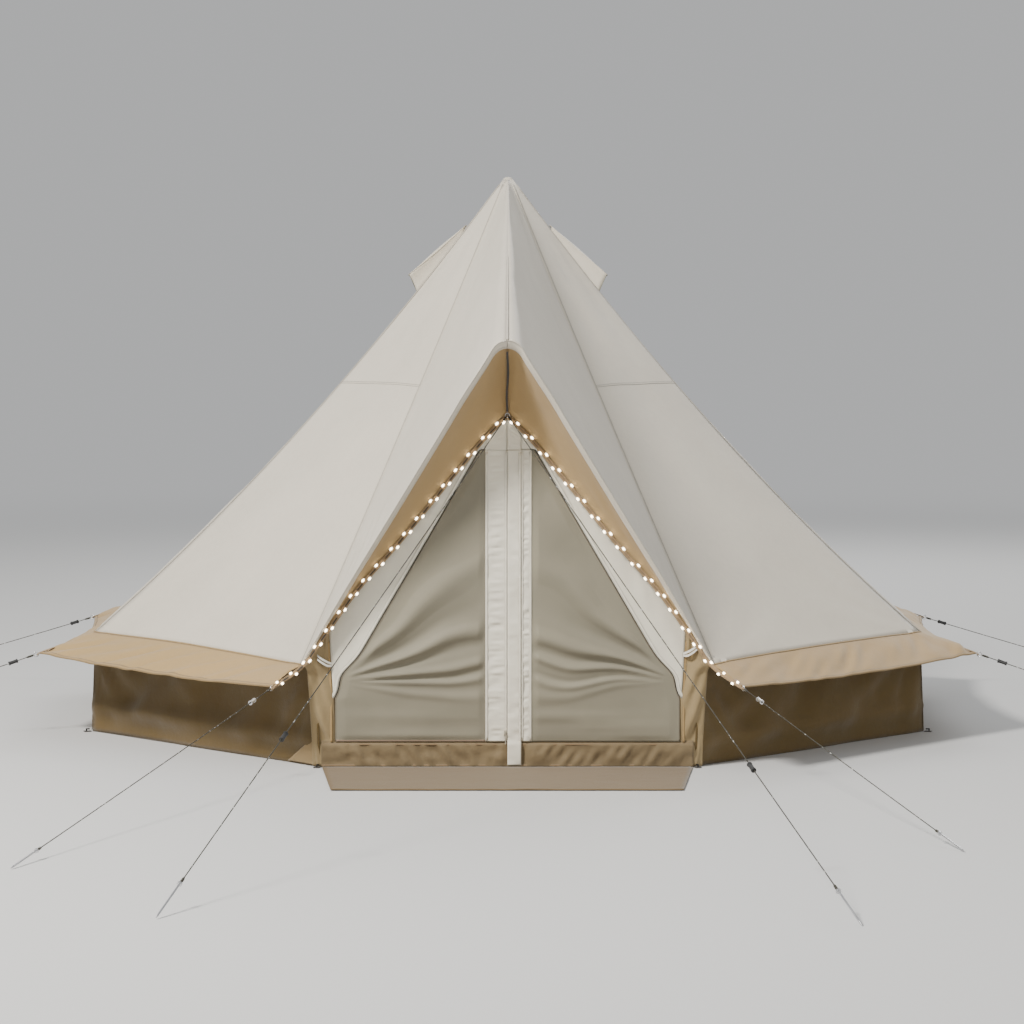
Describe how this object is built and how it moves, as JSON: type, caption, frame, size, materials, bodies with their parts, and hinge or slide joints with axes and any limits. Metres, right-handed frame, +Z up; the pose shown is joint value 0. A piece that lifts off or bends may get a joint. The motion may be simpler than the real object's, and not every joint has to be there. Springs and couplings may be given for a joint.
{
  "type": "bell tent",
  "caption": "Eight-sided bell tent on a centre pole, with an A-frame door awning, zipped front door, low walls, eave band, vent hoods and pegged guylines.",
  "frame": {"origin": "on the ground under the centre pole", "axes": "+Z up along the centre pole; -Y out of the door; +X to the right of someone who faces the door from outside"},
  "size_m": [6.8336, 8.8621, 2.6725],
  "materials": {
    "roof_fabric": "matte",
    "tan_fabric": "matte",
    "hem_fabric": "matte",
    "wall_fabric": "matte",
    "door_cloth": "matte",
    "door_mesh": "matte",
    "vent_mesh": "matte",
    "floor_sheet": "matte",
    "pole_steel": "satin",
    "black_plastic": "matte",
    "bright_steel": "satin",
    "zip_metal": "satin",
    "black_webbing": "matte",
    "dark_steel": "satin",
    "light_strip": "satin",
    "guy_cord": "matte",
    "tensioner_plastic": "matte"
  },
  "bodies": {
    "tent": {"awning_hem": "hem_fabric", "awning_left": "roof_fabric", "awning_right": "roof_fabric", "awning_soffit": "tan_fabric", "centre_pole_cap": "black_plastic", "centre_pole_foot": "black_plastic", "centre_pole_lower": "pole_steel", "centre_pole_upper": "pole_steel", "door_gussets": "tan_fabric", "door_pole_hub": "black_plastic", "door_pole_left": "pole_steel", "door_pole_right": "pole_steel", "door_sill": "wall_fabric", "door_surround": "door_cloth", "doormat": "tan_fabric", "eave_band": "tan_fabric", "groundsheet": "floor_sheet", "guy_rings": "bright_steel", "guy_stakes": "bright_steel", "guyline_door_left": "guy_cord", "guyline_door_right": "guy_cord", "guyline_front_left": "guy_cord", "guyline_front_right": "guy_cord", "guyline_left_front": "guy_cord", "guyline_left_rear": "guy_cord", "guyline_rear_left": "guy_cord", "guyline_rear_right": "guy_cord", "guyline_right_front": "guy_cord", "guyline_right_rear": "guy_cord", "led_battery_case": "black_plastic", "led_strip": "light_strip", "peak_cap": "roof_fabric", "peg_loops": "black_webbing", "ridge_strap": "black_webbing", "roof_gore_rear": "roof_fabric", "roof_gores_left": "roof_fabric", "roof_gores_right": "roof_fabric", "vent_screens": "vent_mesh", "wall_panels": "wall_fabric", "wall_pegs": "dark_steel"},
    "left_door": {"door_flap_left": "door_mesh"},
    "right_door": {"door_flap_right": "door_mesh", "zip_cover": "door_cloth"},
    "slider": {"zip_slider": "zip_metal"},
    "pull": {"zip_pull": "zip_metal"},
    "left_hood": {"vent_hood_left": "roof_fabric"},
    "right_hood": {"vent_hood_right": "roof_fabric"},
    "pole_button": {"centre_pole_button": "bright_steel"},
    "light_button": {"led_switch": "black_plastic"},
    "port_flap": {"cable_port_flap": "tan_fabric"},
    "runner_front_right": {"tensioner_front_right": "tensioner_plastic"},
    "runner_right_front": {"tensioner_right_front": "tensioner_plastic"},
    "runner_right_rear": {"tensioner_right_rear": "tensioner_plastic"},
    "runner_rear_right": {"tensioner_rear_right": "tensioner_plastic"},
    "runner_rear_left": {"tensioner_rear_left": "tensioner_plastic"},
    "runner_left_rear": {"tensioner_left_rear": "tensioner_plastic"},
    "runner_left_front": {"tensioner_left_front": "tensioner_plastic"},
    "runner_front_left": {"tensioner_front_left": "tensioner_plastic"},
    "runner_door_left": {"tensioner_door_left": "tensioner_plastic"},
    "runner_door_right": {"tensioner_door_right": "tensioner_plastic"}
  },
  "joints": [
    {"name": "left_door_hinge", "type": "hinge", "parent": "tent", "child": "left_door", "pos_m": [-0.755, -1.9874, 0.3], "axis": [-0.5145, -0.0103, -0.8574], "range_deg": [0, 100]},
    {"name": "right_door_hinge", "type": "hinge", "parent": "tent", "child": "right_door", "pos_m": [0.755, -1.9874, 0.3], "axis": [-0.5145, 0.0103, 0.8574], "range_deg": [0, 100]},
    {"name": "zip_slide", "type": "slide", "parent": "left_door", "child": "slider", "axis": [0, 0.012, 0.9999], "range_m": [0, 1.18]},
    {"name": "zip_pull_hinge", "type": "hinge", "parent": "slider", "child": "pull", "pos_m": [-0.008, -2.0013, 0.15], "axis": [-1, 0, 0], "range_deg": [0, 85]},
    {"name": "left_hood_hinge", "type": "hinge", "parent": "tent", "child": "left_hood", "pos_m": [-0.209, 0, 2.43249], "axis": [0, -1, 0], "range_deg": [0, 8]},
    {"name": "right_hood_hinge", "type": "hinge", "parent": "tent", "child": "right_hood", "pos_m": [0.209, 0, 2.43249], "axis": [0, 1, 0], "range_deg": [0, 8]},
    {"name": "pole_button_press", "type": "slide", "parent": "tent", "child": "pole_button", "axis": [0, 1, 0], "range_m": [0, 0.005], "stiffness_N_per_m": 400, "springref_m": -0.002},
    {"name": "light_button_press", "type": "slide", "parent": "tent", "child": "light_button", "axis": [0, 0, -1], "range_m": [0, 0.002], "stiffness_N_per_m": 200, "springref_m": -0.001},
    {"name": "port_flap_hinge", "type": "hinge", "parent": "tent", "child": "port_flap", "pos_m": [-0.83499, -1.98354, 0.148], "axis": [-0.5567, 0.5975, -0.5771], "range_deg": [0, 110]},
    {"name": "runner_front_right_slide", "type": "slide", "parent": "tent", "child": "runner_front_right", "axis": [0.321, -0.9289, -0.185], "range_m": [-0.03, 0.15]},
    {"name": "runner_right_front_slide", "type": "slide", "parent": "tent", "child": "runner_right_front", "axis": [0.8851, -0.3666, -0.2866], "range_m": [-0.03, 0.15]},
    {"name": "runner_right_rear_slide", "type": "slide", "parent": "tent", "child": "runner_right_rear", "axis": [0.8851, 0.3666, -0.2866], "range_m": [-0.03, 0.15]},
    {"name": "runner_rear_right_slide", "type": "slide", "parent": "tent", "child": "runner_rear_right", "axis": [0.3666, 0.8851, -0.2866], "range_m": [-0.03, 0.15]},
    {"name": "runner_rear_left_slide", "type": "slide", "parent": "tent", "child": "runner_rear_left", "axis": [-0.3666, 0.8851, -0.2866], "range_m": [-0.03, 0.15]},
    {"name": "runner_left_rear_slide", "type": "slide", "parent": "tent", "child": "runner_left_rear", "axis": [-0.8851, 0.3666, -0.2866], "range_m": [-0.03, 0.15]},
    {"name": "runner_left_front_slide", "type": "slide", "parent": "tent", "child": "runner_left_front", "axis": [-0.8851, -0.3666, -0.2866], "range_m": [-0.03, 0.15]},
    {"name": "runner_front_left_slide", "type": "slide", "parent": "tent", "child": "runner_front_left", "axis": [-0.3081, -0.9381, -0.1585], "range_m": [-0.03, 0.15]},
    {"name": "runner_door_left_slide", "type": "slide", "parent": "tent", "child": "runner_door_left", "axis": [-0.2932, -0.8712, -0.3937], "range_m": [-0.3, 0.3]},
    {"name": "runner_door_right_slide", "type": "slide", "parent": "tent", "child": "runner_door_right", "axis": [0.2873, -0.8777, -0.3834], "range_m": [-0.3, 0.3]}
  ]
}
